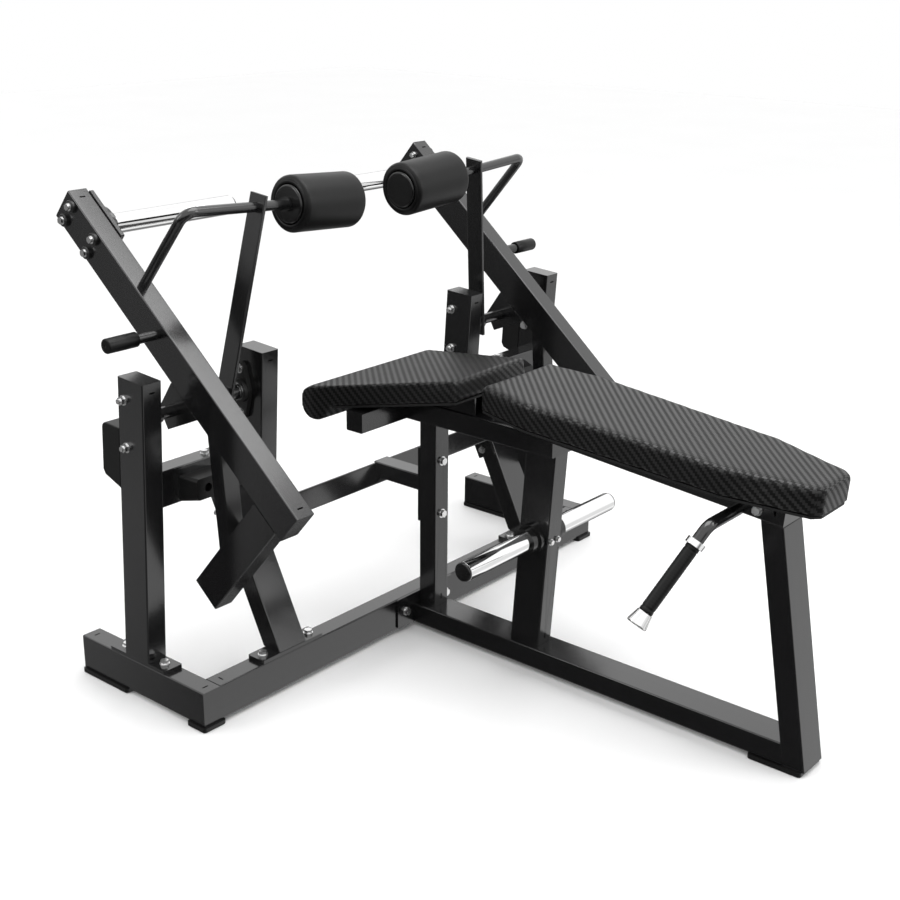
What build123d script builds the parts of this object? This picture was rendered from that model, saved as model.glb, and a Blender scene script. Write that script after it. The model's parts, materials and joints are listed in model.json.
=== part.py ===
from build123d import *
import math
import os

# Plate-loaded prone leg curl with two independent swinging levers.
# Units are millimetres. +X runs from the knee end to the head end of the bench,
# +Y to the user's left-hand side seen from the head end, +Z up.
# Heights in this file are measured from the underside of the steel frame. Finished
# pieces are lifted by the rubber feet and centred along X when they are written.

os.makedirs("parts", exist_ok=True)

# ---------------------------------------------------------------- driving sizes
TUBE_WIDE = 90.0
TUBE_THIN = 55.0
WALL = 3.0
CORNER = 3.5
PLATE = 10.0
FIT = 0.05                 # radial running clearance between a shaft and its bore
CLEAR = 0.5                # radial clearance of a bolt in its hole
SOFT_GAP = 1.0             # upholstery stands this far off the steel

FOOT_LIFT = 12.0           # thickness of the rubber feet
FOOT_BEAM_LENGTH = 465.0
BASE_HALF_WIDTH = 794.5    # outer face of the foot beams
LEAN = 0.0655              # forward lean of the uprights and of the horn post, dx/dz

OUTER_Y = BASE_HALF_WIDTH - TUBE_THIN / 2
INNER_Y = 402.0            # centre of the short inner uprights
UPRIGHT_TOP = 820.0
UPRIGHT_FOOT_X = -245.0    # centre of the outer upright on its base plate

PIVOT_X = -225.0
PIVOT_Z = 711.0
AXLE_R = 15.0

LEVER_Y = 628.5            # centre plane of each lever
ARM_LENGTH = 1003.0
ARM_SLOPE = 40.43          # degrees the arm falls from its loaded end to its low end
ARM_PIVOT_S = 576.0        # pivot's place along the arm, from the loaded end
ARM_PIVOT_T = -96.4        # pivot's place below the arm's centre line

TIE_TOP = 585.0
TIE_X = -211.0
LEG_Y = 499.5
LEG_LEAN = -0.491          # the raking legs lean back, dx/dz

BENCH_BEAM_HEIGHT = 55.0
REAR_POST_X = 32.5
HORN_POST_FOOT_X = 366.0
FRONT_POST_TOE_X = 1174.0
FRONT_POST_LEAN = -0.185
THIGH_BEAM_Z = 583.0       # underside of the level beam below the thigh pad
PAD_BEAM_START_X = 448.0
PAD_BEAM_END_X = 1069.0

THIGH_PAD_SLOPE = 0.176
THIGH_PAD_REAR = (-185.0, 685.0)   # knee edge of the top face, x and z
THIGH_PAD_LENGTH = 403.0
THIGH_PAD_HALF = (240.0, 141.5)
LONG_PAD_SLOPE = -0.08
LONG_PAD_REAR = (298.0, 761.0)
PAD_THICK = 62.0
LONG_PAD_THICK = 72.0
KNEE_ROLL_R = 46.0
PAD_BOARD = 6.0            # plywood board under each cushion
BOARD_INSET = 5.0
PAD_GAP = 0.5              # glue line between a cushion and its board

HORN_R = 25.0              # 50 mm plate horn
HORN_S = 85.0              # horn's place along the arm
HORN_TIP_Y = 176.0
STORAGE_Z = 352.0
STORAGE_HALF = 302.0
STORAGE_ROOT = 67.5        # the collars end here
STORAGE_NECK_R = 23.5

ROD_R = 12.5
ROD_S = 308.0              # where the bent rod leaves the arm
ROD_RISE = 250.0
ROD_FALL = 0.063           # the rod falls this much per millimetre towards the middle
ROLLER_R = 70.0
ROLLER_IN = 100.0
ROLLER_OUT = 306.0


# ---------------------------------------------------------------- small helpers
def tube(start, end, across, wide, thin, ends=(True, True), wall=WALL):
    """Rounded rectangular tube from start to end; `wide` is measured along `across`."""
    start, end = Vector(*start), Vector(*end)
    length = (end - start).length
    plane = Plane(origin=start, x_dir=Vector(*across), z_dir=end - start)
    skin = extrude(plane * RectangleRounded(wide, thin, CORNER), amount=length)
    low = wall if ends[0] else -1.0
    high = length - wall if ends[1] else length + 1.0
    bore = RectangleRounded(wide - 2 * wall, thin - 2 * wall, CORNER - wall)
    return skin - extrude(plane.offset(low) * bore, amount=high - low)


def bar(start, end, across, wide, thin, corner=CORNER):
    """Solid bar, used for cutting and for plates."""
    start, end = Vector(*start), Vector(*end)
    plane = Plane(origin=start, x_dir=Vector(*across), z_dir=end - start)
    return extrude(plane * RectangleRounded(wide, thin, corner), amount=(end - start).length)


def block(x, y, z):
    """Axis-aligned box from three (low, high) pairs."""
    size = Box(x[1] - x[0], y[1] - y[0], z[1] - z[0])
    return Pos((x[0] + x[1]) / 2, (y[0] + y[1]) / 2, (z[0] + z[1]) / 2) * size


def rod(start, end, radius):
    """Round rod from start to end."""
    start, end = Vector(*start), Vector(*end)
    plane = Plane(origin=start, z_dir=end - start)
    return extrude(plane * Circle(radius), amount=(end - start).length)


def ring(start, end, outer, inner):
    """Round tube from start to end."""
    start, end = Vector(*start), Vector(*end)
    plane = Plane(origin=start, z_dir=end - start)
    face = plane * (Circle(outer) - Circle(inner))
    return extrude(face, amount=(end - start).length)


VENT_INSET = 24.0          # distance of a drain slot from the end of its tube


def vent(piece, centre, out, along, long=17.0, high=4.0):
    """Cuts the narrow drain slot that every closed tube has near its end."""
    centre, out = Vector(*centre), Vector(*out).normalized()
    plane = Plane(origin=centre + out * 1.0, x_dir=Vector(*along), z_dir=out * -1)
    return piece - extrude(plane * SlotOverall(long, high), amount=WALL + 3.0)


WASHER = 2.0
WASHER_RATIO = 2.1         # sizes of a bolt's parts as multiples of its radius
HEX_RATIO = 1.75
HEAD_RATIO = 1.3
NUT_RATIO = 1.6
TAIL_RATIO = 2.6


def bolt(seat, out, grip, radius, nut=True):
    """Hex bolt: its head stands on `seat` along `out`, the shank runs back by `grip`."""
    seat, out = Vector(*seat), Vector(*out).normalized()
    washer = rod(seat, seat + out * WASHER, radius * WASHER_RATIO)
    hexagon = RegularPolygon(radius * HEX_RATIO, 6)
    head_end = WASHER + radius * HEAD_RATIO
    head = extrude(Plane(origin=seat + out * WASHER, z_dir=out) * hexagon, amount=radius * HEAD_RATIO)
    head = head & rod(seat, seat + out * head_end, radius * (HEX_RATIO - 0.07))
    tail = grip + WASHER + radius * TAIL_RATIO if nut else grip
    part = washer + head + rod(seat - out * tail, seat + out * WASHER, radius)
    if nut:
        back = seat - out * grip
        part = part + rod(back - out * WASHER, back, radius * WASHER_RATIO)
        nut_end = Plane(origin=back - out * (WASHER + radius * NUT_RATIO), z_dir=out)
        part = part + extrude(nut_end * hexagon, amount=radius * NUT_RATIO)
    return part


def drill(piece, seat, out, depth, radius):
    """Cuts a bolt's clearance hole from seat back by depth."""
    seat, out = Vector(*seat), Vector(*out).normalized()
    return piece - rod(seat + out * 3.0, seat - out * depth, radius + CLEAR)


def on_arm(s, t, y=-LEVER_Y):
    """Point on the left lever: s along the arm from its loaded end, t square to it."""
    along, up = arm_along(), arm_up()
    pivot = Vector(PIVOT_X, y, PIVOT_Z)
    return pivot + along * (s - ARM_PIVOT_S) + up * (t - ARM_PIVOT_T)


def arm_along():
    a = math.radians(ARM_SLOPE)
    return Vector(math.cos(a), 0, -math.sin(a))


def arm_up():
    a = math.radians(ARM_SLOPE)
    return Vector(math.sin(a), 0, math.cos(a))


def upright_x(z):
    """Centre line of the leaning uprights."""
    return UPRIGHT_FOOT_X + LEAN * (z - TUBE_WIDE - PLATE)


def horn_post_x(z):
    return HORN_POST_FOOT_X + LEAN * (z - BENCH_BEAM_HEIGHT)


def pad_beam_z(x):
    """Underside of the sloping beam below the long pad."""
    top = LONG_PAD_REAR[1] + LONG_PAD_SLOPE * (x - LONG_PAD_REAR[0]) - LONG_PAD_THICK
    return top - SOFT_GAP - BENCH_BEAM_HEIGHT


NODES = {}


def keep(name, *solids):
    """Collects a node's solids; they are written at the end of the file."""
    NODES.setdefault(name, []).extend(solids)


def both_sides(name, left):
    """A piece of the left side, and its mirror image on the right, as two nodes."""
    keep(name + "_left", left)
    keep(name + "_right", mirror(left, Plane.XZ))


def pair(name, left):
    """Two mirrored solids in one node."""
    keep(name, left, mirror(left, Plane.XZ))


# ---------------------------------------------------------------- floor frame
BOLT_R = 6.0
SMALL_BOLT_R = 5.0
PLATE_TOP = TUBE_WIDE + PLATE
UPRIGHT_BOLT_X = (UPRIGHT_FOOT_X - 72.0, UPRIGHT_FOOT_X + 72.0)
LEG_BOLT_OFFSET = 78.0


def foot_beam():
    y = -OUTER_Y
    mid = TUBE_WIDE / 2
    part = tube((-FOOT_BEAM_LENGTH, y, mid), (0, y, mid), (0, 1, 0), TUBE_THIN, TUBE_WIDE)
    for x in (-FOOT_BEAM_LENGTH + VENT_INSET, -VENT_INSET):
        part = vent(part, (x, y, TUBE_WIDE), (0, 0, 1), (0, 1, 0))
    for x in UPRIGHT_BOLT_X:
        part = drill(part, (x, y, TUBE_WIDE), (0, 0, 1), 20.0, BOLT_R)
    return part


def upright_base_plate():
    y = -OUTER_Y
    low, high = UPRIGHT_FOOT_X - 105.0, UPRIGHT_FOOT_X + 105.0
    half = TUBE_THIN / 2
    part = block((low, high), (y - half, y + half), (TUBE_WIDE, PLATE_TOP))
    part = fillet(part.edges().filter_by(Axis.Z), 4.0)
    for x in UPRIGHT_BOLT_X:
        part = drill(part, (x, y, PLATE_TOP), (0, 0, 1), 20.0, BOLT_R)
    return part


CROSS_END = BASE_HALF_WIDTH - TUBE_THIN
CROSS_X = -TUBE_THIN / 2
LEG_BOLT_Y = (LEG_Y - LEG_BOLT_OFFSET, LEG_Y + LEG_BOLT_OFFSET)
BEAM_BOLT_Y = 82.0
BEAM_BOLT_Z = 47.0


def cross_beam():
    mid = TUBE_WIDE / 2
    start, end = (CROSS_X, -CROSS_END, mid), (CROSS_X, CROSS_END, mid)
    part = tube(start, end, (1, 0, 0), TUBE_THIN, TUBE_WIDE)
    for side in (-1, 1):
        part = vent(part, (CROSS_X, side * (CROSS_END - VENT_INSET), TUBE_WIDE), (0, 0, 1), (1, 0, 0))
        for y in LEG_BOLT_Y:
            part = drill(part, (CROSS_X, side * y, TUBE_WIDE), (0, 0, 1), 20.0, BOLT_R)
        seat = (0, side * BEAM_BOLT_Y, BEAM_BOLT_Z)
        part = drill(part, seat, (1, 0, 0), TUBE_THIN + 5.0, BOLT_R)
    return part


def leg_base_plate():
    length = 2 * LEG_BOLT_OFFSET + 50.0
    part = block((-TUBE_THIN, 0), (-LEG_Y - length / 2, -LEG_Y + length / 2), (TUBE_WIDE, PLATE_TOP))
    part = fillet(part.edges().filter_by(Axis.Z), 4.0)
    for y in LEG_BOLT_Y:
        part = drill(part, (CROSS_X, -y, PLATE_TOP), (0, 0, 1), 20.0, BOLT_R)
    return part


TIE_LOW = TIE_TOP - TUBE_WIDE
TIE_INNER = INNER_Y + TUBE_THIN / 2
TIE_OUTER = OUTER_Y - TUBE_THIN / 2
TIE_BOLT_Y = (TIE_INNER + 12.5, LEG_Y + LEG_BOLT_OFFSET)
LEG_FRONT_X = CROSS_X + TUBE_THIN / 2 - 1.0      # front face of the leg on its plate


def leg_front(z):
    return LEG_FRONT_X + LEG_LEAN * (z - PLATE_TOP)


LEG_AXIS = Vector(LEG_LEAN, 0, 1).normalized()
LEG_FACE_OUT = Vector(1, 0, -LEG_LEAN).normalized()


def leg_centre(z, y):
    """Centre of the raking leg at height z, measured from its front face."""
    return Vector(leg_front(z), y, z) - LEG_FACE_OUT * (TUBE_THIN / 2)


MID_BEAM_Z = 396.0                 # height of the mid beam's face centre
MID_BEAM_OUT = LEG_Y - TUBE_WIDE / 2
MID_PLATE = 8.0
MID_BOLT_STEP = 50.0
MID_BOLT_BACK = TUBE_THIN / 2 + 12.0


def mid_point(along, back, y):
    """Point near the mid beam: along the leg's rake, back from the leg's front face."""
    face = Vector(leg_front(MID_BEAM_Z), y, MID_BEAM_Z)
    return face + LEG_AXIS * along - LEG_FACE_OUT * back


def raking_leg():
    y = -LEG_Y
    low, high = leg_centre(PLATE_TOP - 60.0, y), leg_centre(TIE_LOW - PLATE + 60.0, y)
    part = tube(low, high, (0, 1, 0), TUBE_WIDE, TUBE_THIN, ends=(False, False))
    part = part & block((-600, 200), (y - 100, y + 100), (PLATE_TOP, TIE_LOW - PLATE))
    for step in (-MID_BOLT_STEP, MID_BOLT_STEP):
        seat = mid_point(step, MID_BOLT_BACK, y - TUBE_WIDE / 2)
        part = drill(part, seat, (0, -1, 0), TUBE_WIDE + 5.0, SMALL_BOLT_R)
    return part


def leg_top_plate():
    x = (TIE_X - TUBE_THIN / 2 - 8.0, TIE_X + TUBE_THIN / 2 + 4.0)
    y = (-TIE_BOLT_Y[1] - 25.0, -TIE_INNER - 0.5)
    part = block(x, y, (TIE_LOW - PLATE, TIE_LOW))
    part = fillet(part.edges().filter_by(Axis.Z), 4.0)
    for bolt_y in TIE_BOLT_Y:
        part = drill(part, (TIE_X, -bolt_y, TIE_LOW), (0, 0, 1), 15.0, SMALL_BOLT_R)
    return part


def tie_beam():
    mid = TIE_TOP - TUBE_WIDE / 2
    start, end = (TIE_X, -TIE_OUTER, mid), (TIE_X, -TIE_INNER, mid)
    part = tube(start, end, (1, 0, 0), TUBE_THIN, TUBE_WIDE, ends=(False, False))
    for bolt_y in TIE_BOLT_Y:
        part = drill(part, (TIE_X, -bolt_y, TIE_TOP), (0, 0, 1), TUBE_WIDE + 5.0, SMALL_BOLT_R)
    return part


def mid_beam():
    end = MID_BEAM_OUT - MID_PLATE
    start = mid_point(0, TUBE_THIN / 2, -end)
    stop = mid_point(0, TUBE_THIN / 2, end)
    part = tube(start, stop, LEG_AXIS, TUBE_THIN, TUBE_THIN, ends=(False, False))
    return part


def mid_beam_plate():
    """End plate of the mid beam, bolted to the leg's inner face."""
    start = mid_point(0, TUBE_THIN / 2 + 4.0, -MID_BEAM_OUT)
    stop = start + Vector(0, MID_PLATE, 0)
    part = bar(start, stop, LEG_AXIS, 2 * MID_BOLT_STEP + 44.0, TUBE_THIN + 8.0)
    for step in (-MID_BOLT_STEP, MID_BOLT_STEP):
        seat = mid_point(step, MID_BOLT_BACK, -MID_BEAM_OUT + MID_PLATE)
        part = drill(part, seat, (0, 1, 0), 15.0, SMALL_BOLT_R)
    return part


# ---------------------------------------------------------------- uprights
BEARING_BOLT_STEP = 57.5
LEAN_AXIS = Vector(LEAN, 0, 1).normalized()
LEAN_OUT = Vector(1, 0, -LEAN).normalized()


def upright(y, low):
    """Leaning upright with its foot cut level and its top closed square."""
    start = Vector(upright_x(low - 60.0), y, low - 60.0)
    end = Vector(upright_x(UPRIGHT_TOP), y, UPRIGHT_TOP)
    part = tube(start, end, (1, 0, LEAN * -1), TUBE_WIDE, TUBE_THIN, ends=(False, True))
    part = part & block((-600, 200), (y - 100, y + 100), (low, UPRIGHT_TOP + 50))
    front = end - LEAN_AXIS * VENT_INSET + LEAN_OUT * (TUBE_WIDE / 2)
    part = vent(part, front, LEAN_OUT, (0, 1, 0))
    for side in (-1, 1):
        seat = (PIVOT_X, y - TUBE_THIN / 2, PIVOT_Z + side * BEARING_BOLT_STEP)
        part = drill(part, seat, (0, -1, 0), TUBE_THIN + 5.0, BOLT_R)
    return part


HOUSING_DEPTH = 30.0
HOUSING_FLANGE = 12.0
HOUSING_EAR_R = 16.0
HOUSING_R = 30.0
HOUSING_NECK = 8.0         # length of the narrow ring round the axle
HOUSING_NECK_R = 21.0
HOUSING_FLOOR = 2.0


def bearing(face_y, out):
    """Two-bolt flange bearing on an upright; `out` is +1 or -1 along Y."""
    def plane(distance):
        centre = Vector(PIVOT_X, face_y + out * distance, PIVOT_Z)
        return Plane(origin=centre, x_dir=(0, 0, 1), z_dir=(0, out, 0))

    ends = [Pos(side * BEARING_BOLT_STEP, 0) * Circle(HOUSING_EAR_R) for side in (-1, 1)]
    outline = make_hull((ends[0] + ends[1] + Circle(HOUSING_R + 1.0)).edges())
    part = extrude(plane(0) * outline, amount=HOUSING_FLANGE)
    part = part + extrude(plane(0) * Circle(HOUSING_R), amount=HOUSING_DEPTH - HOUSING_NECK)
    part = part + extrude(plane(0) * Circle(HOUSING_NECK_R), amount=HOUSING_DEPTH)
    part = part - extrude(plane(HOUSING_FLOOR) * Circle(AXLE_R + FIT), amount=HOUSING_DEPTH)
    for side in (-1, 1):
        seat = plane(HOUSING_FLANGE).origin + Vector(0, 0, side * BEARING_BOLT_STEP)
        part = drill(part, seat, (0, out, 0), HOUSING_FLANGE + 3.0, BOLT_R)
    return part


def bearing_bolts(face_y, out):
    parts = []
    for side in (-1, 1):
        seat = (PIVOT_X, face_y + out * HOUSING_FLANGE, PIVOT_Z + side * BEARING_BOLT_STEP)
        parts.append(bolt(seat, (0, out, 0), HOUSING_FLANGE + TUBE_THIN, BOLT_R))
    return parts


GUARD_LOW = 540.0
GUARD_HIGH = 692.0
GUARD_DEPTH = 66.0
GUARD_CHAMFER = (8.0, 18.0, 30.0)   # inset at the low corner, its start and its end


def guard_block():
    """Hard rubber block on the back of the outer upright."""
    mid = (GUARD_LOW + GUARD_HIGH) / 2
    centre = Vector(upright_x(mid), -OUTER_Y, mid) - LEAN_OUT * (TUBE_WIDE / 2)
    plane = Plane(origin=centre, x_dir=LEAN_OUT * -1, z_dir=(0, 1, 0))
    half = (GUARD_HIGH - GUARD_LOW) / 2
    up = 1.0 if plane.y_dir.Z > 0 else -1.0
    inset, start, end = GUARD_CHAMFER
    outline = Polygon(
        (0, -up * half), (GUARD_DEPTH - inset, -up * (half - start)), (GUARD_DEPTH, -up * (half - end)),
        (GUARD_DEPTH, up * half), (0, up * half), align=None)
    part = extrude(plane * outline, amount=TUBE_THIN / 2 - 1.0, both=True)
    corner = part.edges().filter_by(Axis.Y).sort_by(Axis.Z)[-2:].sort_by(Axis.X)[0]
    part = fillet(corner, 16.0)
    return fillet(part.faces().filter_by(Axis.Y).edges(), 3.0)


BUMPER_Z = 529.0
BUMPER_WIDE = 104.0
BUMPER_HIGH = 66.0
BUMPER_OUT = 43.0
BUMPER_TAPER = (34.0, 12.0)         # how much narrower and lower the tip is
BUMPER_RECESS = (11.0, 14.0)        # radius and depth of the screw recess


def stop_bumper():
    """Rubber block on the tie beam that stops the lever's strut."""
    def plane(distance):
        origin = (TIE_X + TUBE_THIN / 2 + distance, -LEVER_Y, BUMPER_Z)
        return Plane(origin=origin, x_dir=(0, 1, 0), z_dir=(1, 0, 0))

    root = plane(0) * RectangleRounded(BUMPER_WIDE, BUMPER_HIGH, 6.0)
    tip_wide, tip_high = BUMPER_WIDE - BUMPER_TAPER[0], BUMPER_HIGH - BUMPER_TAPER[1]
    tip = plane(BUMPER_OUT) * RectangleRounded(tip_wide, tip_high, 9.0)
    part = loft([root.face(), tip.face()])
    recess_r, recess_depth = BUMPER_RECESS
    return part - extrude(plane(BUMPER_OUT - recess_depth) * Circle(recess_r), amount=recess_depth + 5.0)


# ---------------------------------------------------------------- bench frame
THIGH_TUBE_X = -52.5
THIGH_TUBE_HALF = 215.0
THIGH_BEAM_TOP = THIGH_BEAM_Z + BENCH_BEAM_HEIGHT
JOINT_PLATE = 8.0
BASE_PLATE = REAR_POST_X - TUBE_THIN / 2
POST_PLATE = 6.0
POST_PLATE_Z = (296.0, 504.0)
POST_BOLT_Z = (324.0, 473.0)
LINK_Z = 404.5
LINK_HEIGHT = 45.0
HANDLE_X = 956.0
HANDLE_R = 14.0


def base_beam():
    z = BENCH_BEAM_HEIGHT / 2
    start, end = (BASE_PLATE, 0, z), (FRONT_POST_TOE_X, 0, z)
    part = tube(start, end, (0, 1, 0), TUBE_WIDE, BENCH_BEAM_HEIGHT, ends=(False, False))
    part = part - front_post_skin()
    return part.solids().sort_by(Axis.X)[0]


def front_post_line(z):
    """Centre of the slanted front post at height z."""
    out = Vector(1, 0, -FRONT_POST_LEAN).normalized()
    face = Vector(FRONT_POST_TOE_X + FRONT_POST_LEAN * z, 0, z)
    return face - out * (TUBE_THIN / 2)


def front_post_skin():
    return bar(front_post_line(-80.0), front_post_line(700.0), (0, 1, 0), TUBE_WIDE + 10, TUBE_THIN, 0.5)


def pad_beam_line(low_x, high_x):
    """Two ends of the sloping beam's centre line."""
    start = Vector(low_x, 0, pad_beam_z(low_x) + BENCH_BEAM_HEIGHT / 2)
    end = Vector(high_x, 0, pad_beam_z(high_x) + BENCH_BEAM_HEIGHT / 2)
    return start, end


def front_post():
    part = tube(front_post_line(-80.0), front_post_line(700.0), (0, 1, 0),
                TUBE_WIDE, TUBE_THIN, ends=(False, False))
    part = part & block((900, 1300), (-100, 100), (0, 800))
    start, end = pad_beam_line(PAD_BEAM_START_X, PAD_BEAM_END_X + 200)
    above = bar(start, end, (0, 1, 0), TUBE_WIDE + 40, BENCH_BEAM_HEIGHT, 0.5)
    part = part - above - Pos(0, 0, BENCH_BEAM_HEIGHT - 1.0) * above
    return part.solids().sort_by(Axis.Z)[0]


SIDE_BOLT_X = 1003.0
SIDE_BOLT_UP = 20.0


def side_seat():
    """Seat of the bolt through the sloping beam near its head end."""
    return Vector(SIDE_BOLT_X, -TUBE_WIDE / 2, pad_beam_z(SIDE_BOLT_X) + SIDE_BOLT_UP)


def pad_beam():
    start, end = pad_beam_line(PAD_BEAM_START_X, PAD_BEAM_END_X)
    part = tube(start, end, (0, 1, 0), TUBE_WIDE, BENCH_BEAM_HEIGHT, ends=(False, True))
    part = part & block((PAD_BEAM_START_X, 1300), (-100, 100), (0, 900))
    for side in (-1, 1):
        centre = end - (end - start).normalized() * VENT_INSET + Vector(0, side * TUBE_WIDE / 2, 0)
        part = vent(part, centre, (0, side, 0), (0, 0, 1))
    return drill(part, side_seat(), (0, -1, 0), TUBE_WIDE + 5.0, BOLT_R)


def base_beam_plate():
    part = block((0, BASE_PLATE), (-115, 115), (4, TUBE_WIDE))
    part = fillet(part.edges().filter_by(Axis.X), 5.0)
    for side in (-1, 1):
        seat = (BASE_PLATE, side * BEAM_BOLT_Y, BEAM_BOLT_Z)
        part = drill(part, seat, (1, 0, 0), 15.0, BOLT_R)
    return part


def rear_post():
    start, end = (REAR_POST_X, 0, BENCH_BEAM_HEIGHT), (REAR_POST_X, 0, THIGH_BEAM_Z)
    part = tube(start, end, (1, 0, 0), TUBE_THIN, TUBE_THIN, ends=(False, False))
    for z in POST_BOLT_Z:
        seat = (REAR_POST_X + TUBE_THIN / 2, 0, z)
        part = drill(part, seat, (1, 0, 0), TUBE_THIN + 5.0, BOLT_R)
    return vent(part, (REAR_POST_X + TUBE_THIN / 2, 0, BENCH_BEAM_HEIGHT + VENT_INSET), (1, 0, 0), (0, 0, 1))


def rear_post_plate():
    face = REAR_POST_X - TUBE_THIN / 2
    part = block((face - POST_PLATE, face), (-TUBE_THIN / 2, TUBE_THIN / 2), POST_PLATE_Z)
    for z in POST_BOLT_Z:
        part = drill(part, (face, 0, z), (1, 0, 0), 15.0, BOLT_R)
    return part


def link_tube():
    """Short level tube from the mid beam forward to the rear post's plate."""
    start = (leg_front(LINK_Z) - 60.0, 0, LINK_Z)
    end = (REAR_POST_X - TUBE_THIN / 2 - POST_PLATE, 0, LINK_Z)
    part = tube(start, end, (0, 1, 0), TUBE_THIN, LINK_HEIGHT, ends=(False, False))
    face = Plane(origin=mid_point(0, 0, 0), x_dir=(0, 1, 0), z_dir=LEG_FACE_OUT * -1)
    return part - extrude(face * Rectangle(200, 400), amount=300)


SCREW_Y = (-14.0, 14.0)
SCREW_R = 4.0
SCREW_LENGTH = 8.0


def screw_seat(y):
    """Seat of a screw that holds the storage bar, on the horn post's front face."""
    return Vector(horn_post_x(STORAGE_Z), y, STORAGE_Z) + LEAN_OUT * (TUBE_WIDE / 2)


def horn_post():
    low, high = BENCH_BEAM_HEIGHT - 60.0, THIGH_BEAM_Z + 60.0
    start, end = Vector(horn_post_x(low), 0, low), Vector(horn_post_x(high), 0, high)
    part = tube(start, end, (1, 0, -LEAN), TUBE_WIDE, TUBE_THIN, ends=(False, False))
    part = part & block((0, 700), (-100, 100), (BENCH_BEAM_HEIGHT, THIGH_BEAM_Z))
    axis = horn_post_x(STORAGE_Z)
    part = part - rod((axis, -60, STORAGE_Z), (axis, 60, STORAGE_Z), STORAGE_NECK_R + FIT)
    for y in SCREW_Y:
        part = drill(part, screw_seat(y), LEAN_OUT, 12.0, SCREW_R)
    vent_z = BENCH_BEAM_HEIGHT + VENT_INSET
    front = Vector(horn_post_x(vent_z), 0, vent_z) + LEAN_OUT * (TUBE_WIDE / 2)
    return vent(part, front, LEAN_OUT, LEAN_AXIS)


def storage_bar():
    """Plate storage bar, turned down where it passes through the post and the collars."""
    x = horn_post_x(STORAGE_Z)
    part = rod((x, -STORAGE_ROOT, STORAGE_Z), (x, STORAGE_ROOT, STORAGE_Z), STORAGE_NECK_R)
    for side in (-1, 1):
        part = part + rod((x, side * STORAGE_ROOT, STORAGE_Z), (x, side * STORAGE_HALF, STORAGE_Z), HORN_R)
    return part - rod((x, -STORAGE_HALF - 1, STORAGE_Z), (x, STORAGE_HALF + 1, STORAGE_Z), STORAGE_BORE_R)


COLLAR_STEP = 16.0
COLLAR_R = 39.0
COLLAR_NECK_R = 33.0
STORAGE_BORE_R = HORN_R - 5.0
PLUG_LENGTH = 20.0
PLUG_LID = 6.0


def storage_collar():
    """Stepped black collar that stops the stored plates short of the post."""
    x, face = horn_post_x(STORAGE_Z), -TUBE_THIN / 2
    step, bore = face - COLLAR_STEP, STORAGE_NECK_R + FIT
    wide = ring((x, face, STORAGE_Z), (x, step, STORAGE_Z), COLLAR_R, bore)
    neck = ring((x, step, STORAGE_Z), (x, -STORAGE_ROOT, STORAGE_Z), COLLAR_NECK_R, bore)
    return wide + neck


def storage_cap():
    """Domed plug in the end of the storage bar."""
    x, tip = horn_post_x(STORAGE_Z), -STORAGE_HALF
    plug = rod((x, tip, STORAGE_Z), (x, tip + PLUG_LENGTH, STORAGE_Z), STORAGE_BORE_R - 0.2)
    lid = rod((x, tip, STORAGE_Z), (x, tip - PLUG_LID, STORAGE_Z), HORN_R - 0.6)
    lid = fillet(lid.edges().sort_by(Axis.Y)[0], 4.0)
    return plug + lid


def thigh_beam():
    z = THIGH_BEAM_Z + BENCH_BEAM_HEIGHT / 2
    start = (THIGH_TUBE_X + TUBE_THIN / 2, 0, z)
    end = (PAD_BEAM_START_X - JOINT_PLATE, 0, z)
    return tube(start, end, (0, 1, 0), TUBE_WIDE, BENCH_BEAM_HEIGHT, ends=(False, False))


def thigh_tube():
    z = THIGH_BEAM_Z + BENCH_BEAM_HEIGHT / 2
    start, end = (THIGH_TUBE_X, -THIGH_TUBE_HALF, z), (THIGH_TUBE_X, THIGH_TUBE_HALF, z)
    part = tube(start, end, (1, 0, 0), TUBE_THIN, BENCH_BEAM_HEIGHT)
    for side in (-1, 1):
        centre = (THIGH_TUBE_X, side * (THIGH_TUBE_HALF - VENT_INSET), THIGH_BEAM_Z)
        part = vent(part, centre, (0, 0, -1), (0, 1, 0))
    low = THIGH_BEAM_TOP + 1.0
    return part & block((-200, 200), (-300, 300), (0, low))


def joint_plate():
    """Upright plate that joins the level beam to the sloping one above the horn post."""
    top = pad_beam_z(PAD_BEAM_START_X) + BENCH_BEAM_HEIGHT
    x = (PAD_BEAM_START_X - JOINT_PLATE, PAD_BEAM_START_X)
    part = block(x, (-TUBE_WIDE / 2, TUBE_WIDE / 2), (THIGH_BEAM_Z, top - 2.0))
    return fillet(part.edges().filter_by(Axis.X), 4.0)


def thigh_pad_top(x):
    return THIGH_PAD_REAR[1] + THIGH_PAD_SLOPE * (x - THIGH_PAD_REAR[0])


BRACKET_X = (60.0, 200.0)
BRACKET_Y = (-35.0, 40.0)
BRACKET_THICK = 5.0


def thigh_bracket(y):
    """Wedge plate that carries the high end of the thigh pad on the level beam."""
    low_x, high_x = BRACKET_X
    under = PAD_THICK * math.sqrt(1 + THIGH_PAD_SLOPE ** 2) + SOFT_GAP
    outline = Polygon(
        (low_x, THIGH_BEAM_TOP), (high_x, THIGH_BEAM_TOP),
        (high_x, thigh_pad_top(high_x) - under), (low_x, thigh_pad_top(low_x) - under), align=None)
    return extrude(Plane(origin=(0, y, 0), x_dir=(1, 0, 0), z_dir=(0, -1, 0)) * outline, amount=BRACKET_THICK)


# ---------------------------------------------------------------- upholstery
THIGH_PAD_AXIS = Vector(1, 0, THIGH_PAD_SLOPE).normalized()
THIGH_PAD_UP = Vector(-THIGH_PAD_SLOPE, 0, 1).normalized()
THIGH_PAD_RUN = THIGH_PAD_LENGTH * math.sqrt(1 + THIGH_PAD_SLOPE ** 2)
THIGH_ROLL_REACH = 80.0    # how far the plan outline runs past the roll's centre line


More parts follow.
